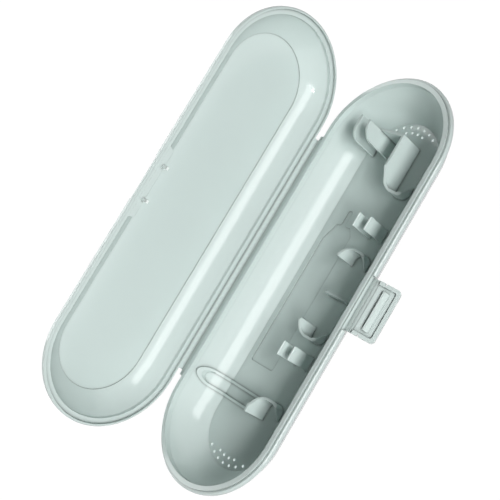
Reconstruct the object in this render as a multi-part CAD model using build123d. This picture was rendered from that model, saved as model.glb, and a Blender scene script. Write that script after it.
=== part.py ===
from build123d import *
import math
import os

# Travel case for an electric toothbrush, one polypropylene moulding shown open.
# The base tray is flat on the table, the lid is hinged along its back and the latch
# flap hangs from its front. X runs along the case, -Y is the latch side, +Z is up.
# The origin is the middle of the flat bottom. All sizes are in millimetres.

# Outline
case_length = 214.0          # over the outer rims
case_width = 72.0
base_depth = 17.5            # from the floor to the top of the tongue
base_thickness = 1.8         # floor and walls of the base
lid_depth = 12.8             # from the lid's rim to its floor
lid_thickness = 1.4

# Rims
lip_height = 1.0             # tongue that stands up inside the lid's rim
shoulder_width = 1.2         # seat outside the tongue, and the lid's outer lip
rim_width = 3.6              # from the outer face to the cavity
rim_band = 2.0               # height of the straight outer band of each rim
rim_inner_depth = 3.0        # straight part of the inner wall
rim_round = 0.5              # bevel of the outer rim edges
tongue_clearance = 0.3       # sideways, between the tongue and the lid's lip
tongue_top_clearance = 0.3
closing_gap = 0.1            # between the two rims when closed

# Trays
base_floor_inset = 15.2      # from the outer face to the edge of the flat floor
base_wall_radius = 30.0      # gentle outward curve of the wall
lid_floor_inset = 13.8
lid_wall_radius = 25.0
lid_floor_step = 0.35        # the floor is sunk by this inside its edge line
taper_count = 4              # straight tapers that make each outer wall

# Lid hinge
lid_open_angle = 92.5
hinge_offset = 1.6           # axis beyond the outer face
hinge_plate = 1.2            # thickness of the strips that carry the web
hinge_setback = 0.3          # the strips end this far from the axis
hinge_overlap = 0.1          # of the thin edges over the strips
lid_strip_length = 128.0
base_strip_length = 133.0
web_thickness = 0.5
web_inner_radius = 0.25
web_start_angle = -90.0      # where the bent web leaves the base's strip

# Vents
vent_diameter = 1.3
vent_inset = 1.8             # outer row, from the floor's edge
vent_row_gap = 3.1
vent_step_angle = 12.5
vent_outer_count = 7
vent_inner_count = 4

# Fittings on the base floor, with places along X from the case's ends
fitting_wall = 1.2
head_inset = 24.4            # from the front face to the line of the two brush heads
head_middle = 0.5            # X midway between the two heads
cup_width = 9.6
cup_round = 3.5
cup_end_height = 7.8         # of a cup's rim where its back wall meets its end wall
cup_fall = 0.8               # slope of the rim down towards the end wall
cup_front_fall = 0.4         # slope of the rim down towards the front
fin_slope = 1.1              # slope of the front fin down to the floor
fin_reach = 7.2              # from the end wall to the foot of the fin
end_cup_inset = 52.8         # end wall of each outer cup
left_cup_inset = 42.7        # free end of the left cup
left_cup_height = 13.2
right_cup_height = 14.8
rest_spacing = 46.2          # between the end walls of the two middle cups
rest_length = 6.9
rest_height = 12.2
left_clip_place = -31.9
right_clip_place = 35.1
clip_height = 14.5
clip_width = 6.8
clip_gap = 6.0               # between the two prongs
clip_tip_bevel = 0.3
divider_height = 7.0
divider_back = -5.3
divider_round = 4.0

# Neck clamp for the handle
clamp_back_place = 15.9      # Y of the front face of each leaf
clamp_front_place = 6.0
clamp_back_inset = 37.2      # where each leaf starts
clamp_front_inset = 36.6
clamp_end_inset = 25.7       # where the back leaf ends
clamp_back_height = 20.2
clamp_front_height = 24.2
clamp_back_round = 5.8
clamp_front_round = 8.0
stop_wall_inset = 28.5
stop_wall_height = 14.8

# Ribs under the handle
rib_height = 1.5
rib_loop_inset = 46.7
rib_loop_width = 8.3
rib_loop_drop = 1.6          # round end of the loop, from the rim's inner face

# Shallow bed in the floor under the handle
bed_depth = 0.4
bed_front = 2.2
bed_back = 17.8
bed_left_inset = 63.8
bed_right_inset = 74.0
bed_back_slope_length = 9.0
bed_back_slope_depth = 3.8
bed_front_slope_length = 4.0
bed_front_slope_depth = 3.0
bed_neck_front = 8.8
bed_neck_back = 11.6
bed_neck_inset = 66.0
bed_round = 1.2

# Latch
latch_width = 25.8
latch_centre = 0.7           # X of the middle of the latch
latch_recess = 1.0           # depth of the flat in the base's rim behind the flap
latch_side_gap = 0.5
ledge_drop = 3.0             # top of the ledge, below the tongue's top
ledge_thickness = 1.2
ledge_overlap = 0.2          # of the ledge into the rim
flap_length = 11.4
flap_plate = 1.1
flap_rim_height = 1.0
flap_rim_width = 1.8
flap_round = 2.0
flap_gap = 0.2               # from the closed flap's rim to the outer face
flap_nick = 0.8
flap_nick_place = 3.4        # from the flap's axis
flap_open_angle = 118.0
hinge_half_web = 0.35        # length of the thin web each side of the flap's axis
hinge_tongue = 0.9           # where full thickness starts, from the axis
hook_length = 18.8
hook_width = 2.8
hook_tip = 0.8               # height of the hook's blunt tip
hook_reach = 0.7             # past the outer face, into the lid's catch
hook_clearance = 0.2         # over the lid's catch lip

# Catch in the lid
catch_width = 22.0
catch_lip = 1.4              # height of the lip that the hook pulls on
catch_depth = 1.0
catch_height = 3.8
catch_ledge_length = 36.0
catch_ledge_reach = 2.8
catch_ledge_height = 2.2
catch_ledge_slope = 1.2      # length of the sloped end at each side
nub_width = 1.5
nub_thickness = 1.2
nub_spacing = 16.9
nub_drop = 2.6               # below the lid's rim plane

# Room that a cut runs past a face
spare = 1.0

# Worked-out places
half_length = case_length / 2
half_width = case_width / 2
half_straight = half_length - half_width
floor_top = base_thickness
base_height = base_depth + base_thickness
seat_level = base_height - lip_height
lid_rim_level = seat_level + closing_gap
lid_floor = lid_rim_level + lid_depth
lid_top = lid_floor + lid_thickness
groove_level = base_height + tongue_top_clearance
rim_inner_face = half_width - rim_width
hinge_y = half_width + hinge_offset
hinge_z = seat_level + closing_gap / 2
web_outer_radius = web_inner_radius + web_thickness
ledge_top = base_height - ledge_drop
flap_y = -(half_width + flap_gap + flap_rim_height + flap_plate / 2)
flap_z = ledge_top - ledge_thickness / 2
head_line = head_inset - half_width
cup_back = head_line + cup_width / 2
cup_back_face = cup_back - fitting_wall
stop_wall_place = half_length - stop_wall_inset
hook_start = lid_rim_level + catch_lip + hook_clearance - flap_z


def block(x_from, x_to, y_from, y_to, z_from, z_to):
    """Box between two opposite corners."""
    size = Box(abs(x_to - x_from), abs(y_to - y_from), abs(z_to - z_from))
    return Pos((x_from + x_to) / 2, (y_from + y_to) / 2, (z_from + z_to) / 2) * size


def centre_of_arc(start, end, radius):
    """Centre of the wall arc through two points of the half section."""
    run_x = end[0] - start[0]
    run_z = end[1] - start[1]
    chord = math.hypot(run_x, run_z)
    reach = math.sqrt(radius ** 2 - (chord / 2) ** 2)
    side = math.copysign(1, -run_z)
    middle_x = (start[0] + end[0]) / 2
    middle_z = (start[1] + end[1]) / 2
    return middle_x + side * run_z / chord * reach, middle_z - side * run_x / chord * reach


def arc_x(centre, radius, level):
    """Distance of a wall arc from the middle plane at a level."""
    return centre[0] + math.sqrt(radius ** 2 - (level - centre[1]) ** 2)


def along_arc(centre, radius, start, end, share):
    """Point of a wall arc, at a share of the way from start to end."""
    first = math.atan2(start[1] - centre[1], start[0] - centre[0])
    last = math.atan2(end[1] - centre[1], end[0] - centre[0])
    angle = first + (last - first) * share
    return centre[0] + radius * math.cos(angle), centre[1] + radius * math.sin(angle)


def arc_between(centre, radius, start, end):
    """Smooth inner wall from start to end, bulging away from the middle."""
    middle = along_arc(centre, radius, start, end, 0.5)
    return ThreePointArc(start, middle, end)


def tapers_between(centre, radius, start, end):
    """Outer wall from start to end, as straight tapers along the arc."""
    stations = [along_arc(centre, radius, start, end, step / taper_count) for step in range(taper_count + 1)]
    return Polyline(*stations)


def round_ended(section):
    """Solid with straight sides and half-round ends from its closed half section.

    The section is drawn with X as the distance from the middle plane and Y as height.
    """
    half_face = make_face(section)
    half_turn = Rot(0, 0, -90) * revolve(Plane.XZ * half_face, Axis.Z, 180)
    right_end = Pos(half_straight, 0, 0) * half_turn
    left_end = right_end.mirror(Plane.YZ)
    side_face = Pos(-half_straight, 0, 0) * (Plane.YZ * half_face)
    back_half = extrude(side_face, 2 * half_straight, dir=(1, 0, 0))
    return right_end + left_end + back_half + back_half.mirror(Plane.XZ)


def base_wall():
    """Top and foot of the base's inner wall, and the centre of its arc."""
    start = (rim_inner_face, base_height - rim_inner_depth)
    end = (half_width - base_floor_inset, floor_top)
    return start, end, centre_of_arc(start, end, base_wall_radius)


def base_outside():
    """Filled outer form of the base."""
    start, end, centre = base_wall()
    outer_radius = base_wall_radius + base_thickness
    band_foot = seat_level - rim_band
    tongue_face = half_width - shoulder_width - tongue_clearance
    foot = (arc_x(centre, outer_radius, band_foot), band_foot)
    sole = (arc_x(centre, outer_radius, 0), 0)
    rim_and_tongue = Polyline(
        foot,
        (half_width, band_foot),
        (half_width, seat_level - rim_round),
        (half_width - rim_round, seat_level),
        (tongue_face, seat_level),
        (tongue_face, base_height),
        (0, base_height),
        (0, 0),
        sole,
    )
    return round_ended(rim_and_tongue + tapers_between(centre, outer_radius, sole, foot))


def base_cavity(layer=0.0):
    """Open space of the base; a layer leaves that much standing on its surface."""
    start, end, centre = base_wall()
    radius = base_wall_radius - layer
    level = floor_top + layer
    top = base_height + spare
    side = rim_inner_face - layer
    corner = (side, centre[1] - math.sqrt(radius ** 2 - (side - centre[0]) ** 2))
    edge = (arc_x(centre, radius, level), level)
    inside = Polyline(corner, (side, top), (0, top), (0, level), edge)
    return round_ended(inside + arc_between(centre, radius, edge, corner))


def vent_holes():
    """Small holes in two arcs through the floor at each round end."""
    hole = Pos(0, 0, floor_top / 2) * Cylinder(vent_diameter / 2, 2 * base_thickness)
    outer_radius = half_width - base_floor_inset - vent_inset
    inner_radius = outer_radius - vent_row_gap
    holes = Part()
    for radius, count in ((outer_radius, vent_outer_count), (inner_radius, vent_inner_count)):
        for index in range(count):
            angle = math.radians((index - (count - 1) / 2) * vent_step_angle)
            x = half_straight + radius * math.cos(angle)
            holes += Pos(x, radius * math.sin(angle), 0) * hole
    return holes + holes.mirror(Plane.YZ)


def handle_bed():
    """Shallow bed in the floor, in the outline of a handle and its neck."""
    left = bed_left_inset - half_length
    right = half_length - bed_right_inset
    neck_end = half_length - bed_neck_inset
    outline = Polyline(
        (left, bed_front),
        (left, bed_back),
        (right - bed_back_slope_length, bed_back),
        (right, bed_back - bed_back_slope_depth),
        (right, bed_neck_back),
        (neck_end, bed_neck_back),
        (neck_end, bed_neck_front),
        (right, bed_neck_front),
        (right, bed_front + bed_front_slope_depth),
        (right - bed_front_slope_length, bed_front),
        (left, bed_front),
    )
    bed = make_face(outline)
    bed = fillet(bed.vertices(), bed_round)
    return Pos(0, 0, floor_top - bed_depth) * extrude(bed, bed_depth + spare)


def latch_recess_cut():
    """Flat cut into the base's rim behind the flap."""
    reach = latch_width / 2 + latch_side_gap
    return block(latch_centre - reach, latch_centre + reach, -half_width - spare, -half_width + latch_recess,
                 ledge_top, base_height + spare)


def latch_ledge():
    """Ledge below the recess, thinned at its edge for the flap's web."""
    left = latch_centre - latch_width / 2
    right = latch_centre + latch_width / 2
    ledge = block(left, right, flap_y + hinge_tongue, -rim_inner_face - ledge_overlap,
                  ledge_top - ledge_thickness, ledge_top)
    thin_edge = block(left, right, flap_y + hinge_half_web, flap_y + hinge_tongue,
                      flap_z - web_thickness / 2, flap_z + web_thickness / 2)
    return ledge + thin_edge


def hinge_strip(length, rim_face, side):
    """Strip beyond a rim's back edge with its thin edge; side is 1 for the lid, -1 for the base."""
    half_strip = length / 2
    strip_end = hinge_y - hinge_setback
    strip = block(-half_strip, half_strip, half_width - spare, strip_end,
                  rim_face, rim_face + side * hinge_plate)
    half_web = lid_strip_length / 2
    thin_edge = block(-half_web, half_web, strip_end - hinge_overlap, hinge_y,
                      hinge_z + side * web_inner_radius, hinge_z + side * web_outer_radius)
    return strip + thin_edge


def base_shell():
    outside = base_outside() - latch_recess_cut() + latch_ledge()
    outside += hinge_strip(base_strip_length, seat_level, -1)
    return outside - base_cavity() - vent_holes() - handle_bed()


def rounded_plan(far, end, width, corner):
    """Plan from far to end about the line of the heads, round at its end corners."""
    plan = Pos((far + end) / 2, head_line) * Rectangle(end - far, width)
    return fillet(plan.vertices().sort_by(Axis.X)[-2:], corner)


def rim_plane(end):
    """Slanted plane of a cup's rim, falling towards its end wall and its front."""
    return Plane(origin=(end, cup_back, floor_top + cup_end_height), z_dir=(cup_fall, -cup_front_fall, 1))


def fin_plane(end):
    """Slanted plane of a cup's front fin, falling to the floor away from the end wall."""
    return Plane(origin=(end - fin_reach, head_line, floor_top), z_dir=(-fin_slope, 0, 1))


def neck_cup(end, back, height):
    """Cup that holds one end of a brush head, open above, behind and at its far end."""
    far = end - fin_reach
    walls = rounded_plan(far - spare, end, cup_width, cup_round)
    walls -= rounded_plan(far - 2 * spare, end - fitting_wall, cup_width - 2 * fitting_wall,
                          cup_round - fitting_wall)
    curved = Pos(0, 0, floor_top) * extrude(walls, height)
    curved = split(curved, bisect_by=rim_plane(end), keep=Keep.BOTTOM)
    front = curved & block(far, end, head_line - cup_width, head_line, floor_top, base_height)
    front = split(front, bisect_by=fin_plane(end), keep=Keep.BOTTOM)
    end_back = curved & block(end - cup_round, end, head_line, cup_back, floor_top, base_height)
    straight = block(back, end - cup_round, cup_back_face, cup_back, floor_top, floor_top + height)
    straight = split(straight, bisect_by=rim_plane(end), keep=Keep.BOTTOM)
    return front + end_back + straight


def clip_prong(place, face):
    """Upright prong with a bevelled tip; face is 1 behind the head and -1 in front."""
    inner = head_line + face * clip_gap / 2
    prong = block(place - clip_width / 2, place + clip_width / 2, inner, inner + face * fitting_wall,
                  floor_top, floor_top + clip_height)
    tip_edges = prong.edges().filter_by(Axis.X).group_by(Axis.Z)[-1]
    return chamfer(tip_edges, clip_tip_bevel)


def head_clip(place):
    """Two upright prongs that grip one brush head."""
    return Compound(children=[clip_prong(place, 1), clip_prong(place, -1)])


def head_divider():
    """Low cross rib between the two brush heads, running into the front wall."""
    rib = block(head_middle - fitting_wall / 2, head_middle + fitting_wall / 2, -half_width, divider_back,
                0, floor_top + divider_height)
    corner = rib.edges().filter_by(Axis.X).group_by(Axis.Z)[-1].sort_by(Axis.Y)[-1]
    return fillet(corner, divider_round) & base_cavity()


def clamp_leaf(place, start, end, height, corner_radius):
    """Upright leaf with a rounded corner where the handle slides in."""
    leaf = block(start, end, place, place + fitting_wall, floor_top, floor_top + height)
    corner = leaf.edges().filter_by(Axis.Y).group_by(Axis.Z)[-1].sort_by(Axis.X)[0]
    return fillet(corner, corner_radius)


def stop_wall():
    """Cross wall between the right cup and the back leaf."""
    return block(stop_wall_place, stop_wall_place + fitting_wall, cup_back_face, clamp_back_place,
                 floor_top, floor_top + stop_wall_height)


def loop_plan(radius, start):
    """Strip from start with a half-round end at the top of the loop."""
    centre_x = rib_loop_inset - half_length
    top_centre = rim_inner_face - rib_loop_drop - rib_loop_width / 2
    strip = Pos(centre_x, (start + top_centre) / 2) * Rectangle(2 * radius, top_centre - start)
    return strip + Pos(centre_x, top_centre) * Circle(radius)


def handle_ribs():
    """Loop of low rib across the floor and up the back wall."""
    outer_radius = rib_loop_width / 2
    plan = loop_plan(outer_radius, cup_back) - loop_plan(outer_radius - fitting_wall, cup_back - spare)
    return extrude(plan, base_height) & (base_cavity() - base_cavity(rib_height))


def lid_wall():
    """Foot and top of the closed lid's inner wall, and the centre of its arc."""
    start = (rim_inner_face, lid_rim_level + rim_inner_depth)
    end = (half_width - lid_floor_inset, lid_floor)
    return start, end, centre_of_arc(start, end, lid_wall_radius)


def lid_outside():
    """Filled outer form of the closed lid."""
    start, end, centre = lid_wall()
    outer_radius = lid_wall_radius + lid_thickness
    band_top = lid_rim_level + rim_band
    edge = (arc_x(centre, outer_radius, lid_top), lid_top)
    foot = (arc_x(centre, outer_radius, band_top), band_top)
    rim_and_middle = Polyline(
        foot,
        (half_width, band_top),
        (half_width, lid_rim_level + rim_round),
        (half_width - rim_round, lid_rim_level),
        (0, lid_rim_level),
        (0, lid_top),
        edge,
    )
    return round_ended(rim_and_middle + tapers_between(centre, outer_radius, edge, foot))


def lid_cavity():
    """Open space of the closed lid, with the groove for the base's tongue."""
    start, end, centre = lid_wall()
    below = lid_rim_level - spare
    groove_face = half_width - shoulder_width
    edge_level = lid_floor - lid_floor_step
    edge = (arc_x(centre, lid_wall_radius, edge_level), edge_level)
    inside = Polyline(
        edge,
        (edge[0], lid_floor),
        (0, lid_floor),
        (0, below),
        (groove_face, below),
        (groove_face, groove_level),
        (rim_inner_face, groove_level),
        start,
    )
    return round_ended(inside + arc_between(centre, lid_wall_radius, start, edge))


def lid_shell():
    lip_top = lid_rim_level + catch_lip
    catch = block(latch_centre - catch_width / 2, latch_centre + catch_width / 2,
                  -half_width - spare, -half_width + catch_depth, lip_top, lid_rim_level + catch_height)
    return lid_outside() + hinge_strip(lid_strip_length, lid_rim_level, 1) - lid_cavity() - catch


def catch_ledge():
    """Thick ledge inside the lid behind the catch, with sloped ends."""
    back = -rim_inner_face
    front = back + catch_ledge_reach
    half_long = catch_ledge_length / 2
    half_short = half_long - catch_ledge_slope
    plan = make_face(Polyline((-half_long, back), (half_long, back), (half_short, front),
                              (-half_short, front), (-half_long, back)))
    solid = extrude(Pos(latch_centre, 0, groove_level) * plan, catch_ledge_height)
    return solid & lid_cavity()


def catch_nubs():
    """Two tabs that drop inside the base's rim when the lid closes."""
    front = -rim_inner_face + catch_ledge_reach
    nubs = []
    for side in (-1, 1):
        x = latch_centre + side * nub_spacing / 2
        nubs.append(block(x - nub_width / 2, x + nub_width / 2, front - nub_thickness, front,
                          lid_rim_level - nub_drop, groove_level))
    return Compound(children=nubs)


def opened(shape):
    """Turn a closed lid piece about the hinge line to the open angle."""
    return shape.rotate(Axis((0, hinge_y, hinge_z), (1, 0, 0)), -lid_open_angle)


def on_ring(radius, angle):
    """Point of a ring about the hinge line, in the YZ plane."""
    turn = math.radians(angle)
    return radius * math.cos(turn), radius * math.sin(turn)


def lid_web():
    """Thin bent web between the two hinge strips."""
    start = web_start_angle
    end = web_start_angle + 180 - lid_open_angle
    halfway = (start + end) / 2
    section = make_face(
        ThreePointArc(on_ring(web_outer_radius, start), on_ring(web_outer_radius, halfway),
                      on_ring(web_outer_radius, end))
        + Line(on_ring(web_outer_radius, end), on_ring(web_inner_radius, end))
        + ThreePointArc(on_ring(web_inner_radius, end), on_ring(web_inner_radius, halfway),
                        on_ring(web_inner_radius, start))
        + Line(on_ring(web_inner_radius, start), on_ring(web_outer_radius, start))
    )
    placed = Pos(-lid_strip_length / 2, hinge_y, hinge_z) * (Plane.YZ * section)
    return extrude(placed, lid_strip_length, dir=(1, 0, 0))


def flap_plan(width, start, end, corner):
    """Outline of a flap part, with its two far corners rounded."""
    plan = Pos(0, (start + end) / 2) * Rectangle(width, end - start)
    return fillet(plan.vertices().sort_by(Axis.Y)[-2:], corner)


def standing(plan, y_from, y_to):
    """Plate from an outline stood up in the XZ plane, between two distances in Y."""
    return Pos(0, y_to, 0) * Rot(90, 0, 0) * extrude(plan, y_to - y_from)


def latch_flap():
    """Closed flap standing up from its axis, rim towards the case."""
    inner_face = flap_plate / 2
    rim_top = inner_face + flap_rim_height
    outline = flap_plan(latch_width, hinge_tongue, flap_length, flap_round)
    window = flap_plan(latch_width - 2 * flap_rim_width, -spare, flap_length - flap_rim_width,
                       flap_round - flap_rim_width / 2)
    plate = standing(outline, -inner_face, inner_face)
    rim = standing(outline - window, inner_face, rim_top)
    thin_edge = block(-latch_width / 2, latch_width / 2, -web_thickness / 2, web_thickness / 2,
                      hinge_half_web, hinge_tongue)
    flap = plate + rim + thin_edge
    for side in (-1, 1):
        edge = side * latch_width / 2
        flap -= block(edge, edge - side * flap_nick, -inner_face, rim_top,
                      flap_nick_place, flap_nick_place + flap_nick)
    return Pos(latch_centre, flap_y, flap_z) * flap


def hook_bar():
    """Wedge bar across the flap; its steep face pulls on the lid's catch lip."""
    root = flap_plate / 2
    tip = root + flap_rim_height + flap_gap + hook_reach
    section = make_face(Polyline((root, hook_start), (tip, hook_start), (tip, hook_start + hook_tip),
                                 (root, hook_start + hook_width), (root, hook_start)))
    placed = Pos(latch_centre - hook_length / 2, flap_y, flap_z) * (Plane.YZ * section)
    return extrude(placed, hook_length, dir=(1, 0, 0))


def flap_opened(shape):
    """Swing a closed latch piece out and down to its open angle."""
    return shape.rotate(Axis((0, flap_y, flap_z), (1, 0, 0)), flap_open_angle)


def swung(y, z):
    """Point of the open flap's section, measured from its axis."""
    turn = math.radians(flap_open_angle)
    return y * math.cos(turn) - z * math.sin(turn), y * math.sin(turn) + z * math.cos(turn)


def latch_web():
    """Short thin web between the ledge and the open flap."""
    half = web_thickness / 2
    section = make_face(Polyline((hinge_half_web, half), (hinge_half_web, -half),
                                 swung(-half, hinge_half_web), swung(half, hinge_half_web),
                                 (hinge_half_web, half)))
    placed = Pos(latch_centre - latch_width / 2, flap_y, flap_z) * (Plane.YZ * section)
    return extrude(placed, latch_width, dir=(1, 0, 0))


def main():
    cup_end = half_length - end_cup_inset
    rest_end = rest_spacing / 2
    left_rest_end = rest_end - head_middle
    right_rest_end = rest_end + head_middle
    leaf_end = half_length - clamp_end_inset
    back_start = half_length - clamp_back_inset
    front_start = half_length - clamp_front_inset
    pieces = {
        "base_shell": base_shell(),
        "head_cup_left": neck_cup(-cup_end, left_cup_inset - half_length, left_cup_height),
        "head_cup_right": neck_cup(-cup_end, -stop_wall_place, right_cup_height).mirror(Plane.YZ),
        "head_rest_left": neck_cup(left_rest_end, left_rest_end - rest_length, rest_height).mirror(Plane.YZ),
        "head_rest_right": neck_cup(right_rest_end, right_rest_end - rest_length, rest_height),
        "head_clip_left": head_clip(left_clip_place),
        "head_clip_right": head_clip(right_clip_place),
        "head_divider": head_divider(),
        "handle_clamp_back": clamp_leaf(clamp_back_place, back_start, leaf_end,
                                        clamp_back_height, clamp_back_round),
        "handle_clamp_front": clamp_leaf(clamp_front_place, front_start, stop_wall_place,
                                         clamp_front_height, clamp_front_round),
        "handle_stop_wall": stop_wall(),
        "handle_ribs": handle_ribs(),
        "lid_shell": opened(lid_shell()),
        "lid_catch_ledge": opened(catch_ledge()),
        "lid_catch_nubs": opened(catch_nubs()),
        "lid_hinge_web": lid_web(),
        "latch_flap": flap_opened(latch_flap()),
        "latch_hook_bar": flap_opened(hook_bar()),
        "latch_hinge_web": latch_web(),
    }
    os.makedirs("parts", exist_ok=True)
    for name, shape in pieces.items():
        export_step(shape, f"parts/{name}.step")


main()
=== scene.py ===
import math

import bpy
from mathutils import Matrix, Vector


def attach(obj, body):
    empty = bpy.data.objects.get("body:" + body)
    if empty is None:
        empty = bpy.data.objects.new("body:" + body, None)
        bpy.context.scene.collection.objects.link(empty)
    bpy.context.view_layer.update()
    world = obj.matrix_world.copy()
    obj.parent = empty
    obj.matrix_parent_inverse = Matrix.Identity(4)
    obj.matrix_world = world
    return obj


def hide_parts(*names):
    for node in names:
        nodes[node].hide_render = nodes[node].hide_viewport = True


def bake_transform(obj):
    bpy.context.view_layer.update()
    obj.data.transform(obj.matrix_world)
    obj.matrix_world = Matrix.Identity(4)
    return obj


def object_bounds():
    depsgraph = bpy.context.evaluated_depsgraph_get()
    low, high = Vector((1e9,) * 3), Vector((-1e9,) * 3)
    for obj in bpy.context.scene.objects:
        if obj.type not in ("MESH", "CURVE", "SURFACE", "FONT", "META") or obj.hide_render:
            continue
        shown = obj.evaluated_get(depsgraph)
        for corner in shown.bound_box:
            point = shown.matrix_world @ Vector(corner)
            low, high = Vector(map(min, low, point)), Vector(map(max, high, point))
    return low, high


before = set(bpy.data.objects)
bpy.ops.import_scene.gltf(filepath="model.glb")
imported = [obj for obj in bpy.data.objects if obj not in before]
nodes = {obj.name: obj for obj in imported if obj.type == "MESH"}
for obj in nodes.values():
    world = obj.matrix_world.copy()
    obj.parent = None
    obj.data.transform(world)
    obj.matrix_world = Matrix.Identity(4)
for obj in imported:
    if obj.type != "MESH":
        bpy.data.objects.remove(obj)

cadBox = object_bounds()
print("frame loaded:", len(nodes), "nodes")


def deselectAll():
    if bpy.context.object and bpy.context.object.mode != "OBJECT":
        bpy.ops.object.mode_set(mode="OBJECT")
    bpy.ops.object.select_all(action="DESELECT")


def hexColour(text):
    channels = [int(text[i:i + 2], 16) / 255 for i in (0, 2, 4)]
    linear = [c / 12.92 if c <= 0.04045 else ((c + 0.055) / 1.055) ** 2.4 for c in channels]
    return (linear[0], linear[1], linear[2], 1)


def addNode(owner, kind, settings=None, inputs=None):
    node = owner.node_tree.nodes.new(kind)
    for name, value in (settings or {}).items():
        setattr(node, name, value)
    for name, value in (inputs or {}).items():
        if isinstance(value, bpy.types.NodeSocket):
            owner.node_tree.links.new(value, node.inputs[name])
        else:
            node.inputs[name].default_value = value
    return node


# injection-moulded polypropylene: a waxy, even gloss, with a faint orange-peel from
# the tool and flow clouds a few centimetres across
polypropylene = {
    "colour": "CCD9D6",
    "cloudColour": "C8D5D2",
    "cloudSize": 0.035,
    "cloudDetail": 2.0,
    "cloudBreakUp": 0.45,
    "peelSize": 0.0016,
    "peelDetail": 1.0,
    "peelHeight": 0.000004,
    "peelStrength": 0.25,
    "edgeRound": 0.00025,  # the radius a mould leaves on every corner
    # painted shade where walls meet: a thin dark line painted into the corner itself, and a softer
    # painted grey some way around it; each is full where a spot is as shut in as its "full" says,
    # and gone where it is as open as its "gone" says
    "cornerReach": 0.0012,
    "cornerShadeColour": "5E6C69",
    "cornerFull": 0.35,
    "cornerGone": 0.85,
    "shadeReach": 0.002,
    "shadeColour": "B8C2BF",
    "shadeFull": 0.3,
    "shadeGone": 0.95,
    "shadeSamples": 4,
    "roughness": 0.11,
    "roughnessSpread": 0.03,
    "ior": 1.49,
}
colourA, colourB = 6, 7  # the mix node's colour sockets, which share their names with others
mixedColour = 2  # and its colour output


def mouldedPlastic(name, plastic):
    material = bpy.data.materials.new(name)
    material.use_nodes = True
    material.node_tree.nodes.clear()
    samples = {"samples": plastic["shadeSamples"]}
    place = addNode(material, "ShaderNodeTexCoord")
    clouds = addNode(material, "ShaderNodeTexNoise", {}, {
        "Vector": place.outputs["Object"],
        "Scale": 1 / plastic["cloudSize"],
        "Detail": plastic["cloudDetail"],
        "Roughness": plastic["cloudBreakUp"],
    })
    tint = addNode(material, "ShaderNodeMix", {"data_type": "RGBA"}, {
        "Factor": clouds.outputs["Fac"],
        colourA: hexColour(plastic["colour"]),
        colourB: hexColour(plastic["cloudColour"]),
    })
    # painted shade: the colour turns greyer where walls close in, and a dark line is painted into
    # the corner itself
    broad = addNode(material, "ShaderNodeAmbientOcclusion", samples, {
        "Distance": plastic["shadeReach"],
    })
    soft = addNode(material, "ShaderNodeMapRange", {}, {
        "Value": broad.outputs["AO"],
        "From Min": plastic["shadeFull"],
        "From Max": plastic["shadeGone"],
    })
    shaded = addNode(material, "ShaderNodeMix", {"data_type": "RGBA"}, {
        "Factor": soft.outputs["Result"],
        colourA: hexColour(plastic["shadeColour"]),
        colourB: tint.outputs[mixedColour],
    })
    corner = addNode(material, "ShaderNodeAmbientOcclusion", samples, {
        "Distance": plastic["cornerReach"],
    })
    tight = addNode(material, "ShaderNodeMapRange", {}, {
        "Value": corner.outputs["AO"],
        "From Min": plastic["cornerFull"],
        "From Max": plastic["cornerGone"],
    })
    cornerShaded = addNode(material, "ShaderNodeMix", {"data_type": "RGBA"}, {
        "Factor": tight.outputs["Result"],
        colourA: hexColour(plastic["cornerShadeColour"]),
        colourB: shaded.outputs[mixedColour],
    })
    peel = addNode(material, "ShaderNodeTexNoise", {}, {
        "Vector": place.outputs["Object"],
        "Scale": 1 / plastic["peelSize"],
        "Detail": plastic["peelDetail"],
    })
    rounded = addNode(material, "ShaderNodeBevel", samples, {"Radius": plastic["edgeRound"]})
    bump = addNode(material, "ShaderNodeBump", {}, {
        "Normal": rounded.outputs["Normal"],
        "Height": peel.outputs["Fac"],
        "Strength": plastic["peelStrength"],
        "Distance": plastic["peelHeight"],
    })
    gloss = addNode(material, "ShaderNodeMapRange", {}, {
        "Value": clouds.outputs["Fac"],
        "To Min": plastic["roughness"] - plastic["roughnessSpread"],
        "To Max": plastic["roughness"] + plastic["roughnessSpread"],
    })
    shader = addNode(material, "ShaderNodeBsdfPrincipled", {}, {
        "Base Color": cornerShaded.outputs[mixedColour],
        "Roughness": gloss.outputs["Result"],
        "Normal": bump.outputs["Normal"],
        "IOR": plastic["ior"],
    })
    addNode(material, "ShaderNodeOutputMaterial", {}, {"Surface": shader.outputs["BSDF"]})
    return material


# these thin pieces stand clear of the walls, so they get a paler painted corner shade and no painted
# broad shade
thinPieces = {
    "names": ["head_clip_left", "head_clip_right", "lid_hinge_web"],
    "cornerShadeColour": "B4C0BD",
    "shadeColour": "CCD9D6",
}
# the two nubs stand up into the light, so a paler colour is painted on them for the light they
# catch, with no painted shade
nubs = {
    "name": "lid_catch_nubs",
    "colour": "EEF6F4",
}
caseMaterial = mouldedPlastic("moulded_polypropylene", polypropylene)
thinMaterial = mouldedPlastic("thin_moulded_polypropylene", dict(
    polypropylene, cornerShadeColour=thinPieces["cornerShadeColour"], shadeColour=thinPieces["shadeColour"]))
nubPaintedLightMaterial = mouldedPlastic("painted_light_polypropylene", dict(
    polypropylene, colour=nubs["colour"], cloudColour=nubs["colour"],
    cornerShadeColour=nubs["colour"], shadeColour=nubs["colour"]))
finishes = {name: thinMaterial for name in thinPieces["names"]}
finishes[nubs["name"]] = nubPaintedLightMaterial
for name, node in nodes.items():
    material = finishes.get(name, caseMaterial)
    if not node.data.materials:
        node.data.materials.append(material)
    for slot in node.material_slots:
        slot.material = material
print("materials on")


# painted light: the walls of the air holes are made paler and glow, standing in for light seen
# through the holes
paintedVentGlow = {
    "colour": "EAF4F2",
    "glow": 0.5,
    "ends": 0.071,  # where each round end has its middle
    "nearest": 0.015,
    "furthest": 0.0205,
    "lean": 0.05,
    "top": 0.0018,  # a little over the floor that the holes go through
}


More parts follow.
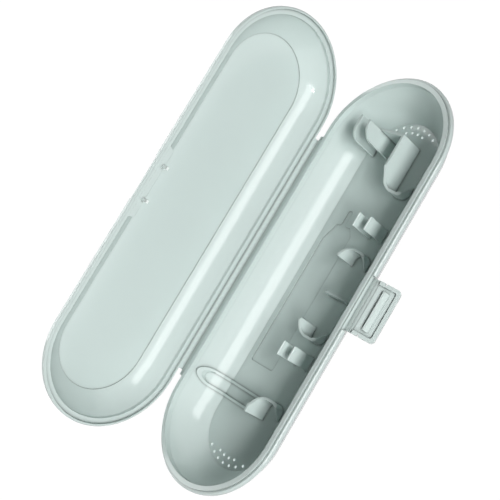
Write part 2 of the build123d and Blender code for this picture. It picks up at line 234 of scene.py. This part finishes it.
def ventGlowMaterial():
    material = mouldedPlastic("glowing_vent_polypropylene", dict(polypropylene, colour=paintedVentGlow["colour"]))
    shader = material.node_tree.nodes["Principled BSDF"]
    # the vent walls glow though they are no lamp: painted light
    shader.inputs["Emission Color"].default_value = hexColour(paintedVentGlow["colour"])
    shader.inputs["Emission Strength"].default_value = paintedVentGlow["glow"]
    return material


def paintVentGlow(piece):
    piece.data.materials.append(ventGlowMaterial())
    for face in piece.data.polygons:
        fromEnd = math.hypot(abs(face.center.x) - paintedVentGlow["ends"], face.center.y)
        inRing = paintedVentGlow["nearest"] < fromEnd < paintedVentGlow["furthest"]
        upright = abs(face.normal.z) < paintedVentGlow["lean"] and abs(face.center.x) > paintedVentGlow["ends"]
        if inRing and upright and face.center.z < paintedVentGlow["top"]:
            face.material_index = 1


# both shells get one smooth skin over the flats of their outsides
shells = {
    "base_shell": {"body": "root", "smoothAngle": 20},
    "lid_shell": {"body": "lid", "smoothAngle": 20},
}
mergeDistance = 0.000002


def copyOfNode(node, name):
    deselectAll()
    piece = bpy.data.objects.new(name, nodes[node].data.copy())
    bpy.context.scene.collection.objects.link(piece)
    bpy.context.view_layer.objects.active = piece
    piece.select_set(True)
    bpy.ops.object.mode_set(mode="EDIT")
    bpy.ops.mesh.select_all(action="SELECT")
    bpy.ops.mesh.remove_doubles(threshold=mergeDistance)
    bpy.ops.object.mode_set(mode="OBJECT")
    bpy.ops.mesh.customdata_custom_splitnormals_clear()
    return piece


def smoothShell(node, shell):
    piece = copyOfNode(node, node + "_skin")
    angle = math.radians(shell["smoothAngle"])
    bpy.ops.object.shade_smooth_by_angle(angle=angle, keep_sharp_edges=False)
    bpy.ops.object.modifier_add(type="WEIGHTED_NORMAL")
    weighted = piece.modifiers[-1]
    weighted.keep_sharp = True
    bpy.ops.object.modifier_apply(modifier=weighted.name)
    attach(piece, shell["body"])
    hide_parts(node)
    return piece


skins = {node: smoothShell(node, shell) for node, shell in shells.items()}
paintVentGlow(skins["base_shell"])
print("shells smoothed")


# the two living hinges get finer, smooth-shaded copies of their own
hinges = {
    "lid_hinge_web": {
        "joins": ("root", "lid"),
        "start": (0, 0.0376, 0.01785),
        "end": (0, 0.0381, 0.01833),
        "cuts": 1,
        "smoothAngle": 30,
    },
    "latch_hinge_web": {
        "joins": ("root", "latch"),
        "start": (0, -0.0374, 0.0157),
        "end": (0, -0.03791, 0.01539),
        "cuts": 3,
        "smoothAngle": 30,
    },
}


def livingHinge(node, hinge):
    piece = copyOfNode(node, node + "_skin")
    bpy.ops.object.mode_set(mode="EDIT")
    bpy.ops.mesh.select_all(action="SELECT")
    bpy.ops.mesh.subdivide(number_cuts=hinge["cuts"])
    bpy.ops.object.mode_set(mode="OBJECT")
    angle = math.radians(hinge["smoothAngle"])
    bpy.ops.object.shade_smooth_by_angle(angle=angle, keep_sharp_edges=False)
    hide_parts(node)
    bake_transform(piece)


for node, hinge in hinges.items():
    livingHinge(node, hinge)


# the paper sweep and the soft boxes around it
studio = {
    "paperSize": 6.0,
    "paperGap": 0.0001,
    "paperColour": "505050",  # dark, so it gives little light back to the case
    "paperGlow": 0.96,  # seen by the camera and by mirrors only, so the sweep reads as white
    "skyColour": "FFFFFF",
    "skyLight": 0.02,
    "skySeen": 1.0,
    "lampDistance": 1.0,
}
# a lamp that is seen in "light" only lights the case, and one seen in "gloss" is a
# card that only shows in its shine
lamps = {
    "window_softbox": {
        "turn": -93, "height": 29, "wide": 0.7, "tall": 0.3, "power": 9.8, "seenIn": "light"},
    "side_softbox": {
        "turn": -148, "height": 17, "wide": 0.5, "tall": 0.35, "power": 2.2, "seenIn": "light"},
    "back_softbox": {
        "turn": 90, "height": 35, "wide": 0.9, "tall": 0.4, "power": 8.0, "seenIn": "light"},
    "back_card": {
        "turn": 90, "height": 38, "wide": 0.9, "tall": 0.4, "power": 3.4, "seenIn": "gloss"},
    "window_card": {
        "turn": -92, "height": 43, "wide": 0.8, "tall": 0.27, "power": 3.4, "seenIn": "gloss"},
    "small_card": {
        "turn": -118, "height": 49, "wide": 0.05, "tall": 0.05, "power": 0.8, "seenIn": "gloss"},
}


def seenRays(owner):
    # what looks straight at the backdrop, mirrors it or looks through clear plastic at it
    rays = addNode(owner, "ShaderNodeLightPath")
    seen = rays.outputs["Is Camera Ray"]
    for ray in ("Is Glossy Ray", "Is Transmission Ray"):
        either = addNode(owner, "ShaderNodeMath", {"operation": "MAXIMUM"}, {
            0: seen,
            1: rays.outputs[ray],
        })
        seen = either.outputs[0]
    return seen


def paperSweep():
    deselectAll()
    floor = cadBox[0][2] - studio["paperGap"]
    bpy.ops.mesh.primitive_plane_add(size=studio["paperSize"], location=(0, 0, floor))
    paper = bpy.context.object
    paper.name = "paper_sweep"
    material = bpy.data.materials.new("white_paper")
    material.use_nodes = True
    material.node_tree.nodes.clear()
    glow = addNode(material, "ShaderNodeMath", {"operation": "MULTIPLY"}, {
        0: seenRays(material),
        1: studio["paperGlow"],
    })
    sheet = addNode(material, "ShaderNodeBsdfDiffuse", {}, {
        "Color": hexColour(studio["paperColour"]),
    })
    light = addNode(material, "ShaderNodeEmission", {}, {"Strength": glow.outputs[0]})
    both = addNode(material, "ShaderNodeAddShader", {}, {0: sheet.outputs[0], 1: light.outputs[0]})
    addNode(material, "ShaderNodeOutputMaterial", {}, {"Surface": both.outputs[0]})
    paper.data.materials.append(material)


def studioWorld():
    world = bpy.data.worlds.new("studio")
    bpy.context.scene.world = world
    world.use_nodes = True
    world.node_tree.nodes.clear()
    strength = addNode(world, "ShaderNodeMapRange", {}, {
        "Value": seenRays(world),
        "To Min": studio["skyLight"],
        "To Max": studio["skySeen"],
    })
    sky = addNode(world, "ShaderNodeBackground", {}, {
        "Color": hexColour(studio["skyColour"]),
        "Strength": strength.outputs["Result"],
    })
    addNode(world, "ShaderNodeOutputWorld", {}, {"Surface": sky.outputs["Background"]})


def softbox(name, lamp):
    turn = math.radians(lamp["turn"])
    height = math.radians(lamp["height"])
    distance = studio["lampDistance"]
    level = distance * math.cos(height)
    place = Vector((level * math.cos(turn), level * math.sin(turn), distance * math.sin(height)))
    light = bpy.data.lights.new(name, "AREA")
    light.shape = "RECTANGLE"
    light.size = lamp["wide"]
    light.size_y = lamp["tall"]
    light.energy = lamp["power"]
    holder = bpy.data.objects.new(name, light)
    bpy.context.scene.collection.objects.link(holder)
    holder.location = place
    holder.rotation_euler = (-place).to_track_quat("-Z", "Y").to_euler()
    holder.visible_diffuse = lamp["seenIn"] == "light"
    holder.visible_glossy = lamp["seenIn"] == "gloss"


paperSweep()
studioWorld()
for name, lamp in lamps.items():
    softbox(name, lamp)
print("studio lit")


camera = {
    "place": (-0.04293, -0.31673, 0.34936),
    "turn": (32.2515, 36.6939, -50.5323),
    "lens": 73.165,
    "sensor": 36,
}
view = bpy.data.cameras.new("camera")
view.lens = camera["lens"]
view.sensor_width = camera["sensor"]
viewer = bpy.data.objects.new("camera", view)
bpy.context.scene.collection.objects.link(viewer)
viewer.location = camera["place"]
viewer.rotation_euler = [math.radians(a) for a in camera["turn"]]
bpy.context.scene.camera = viewer
bpy.context.scene.view_settings.view_transform = "Standard"
print("camera placed")
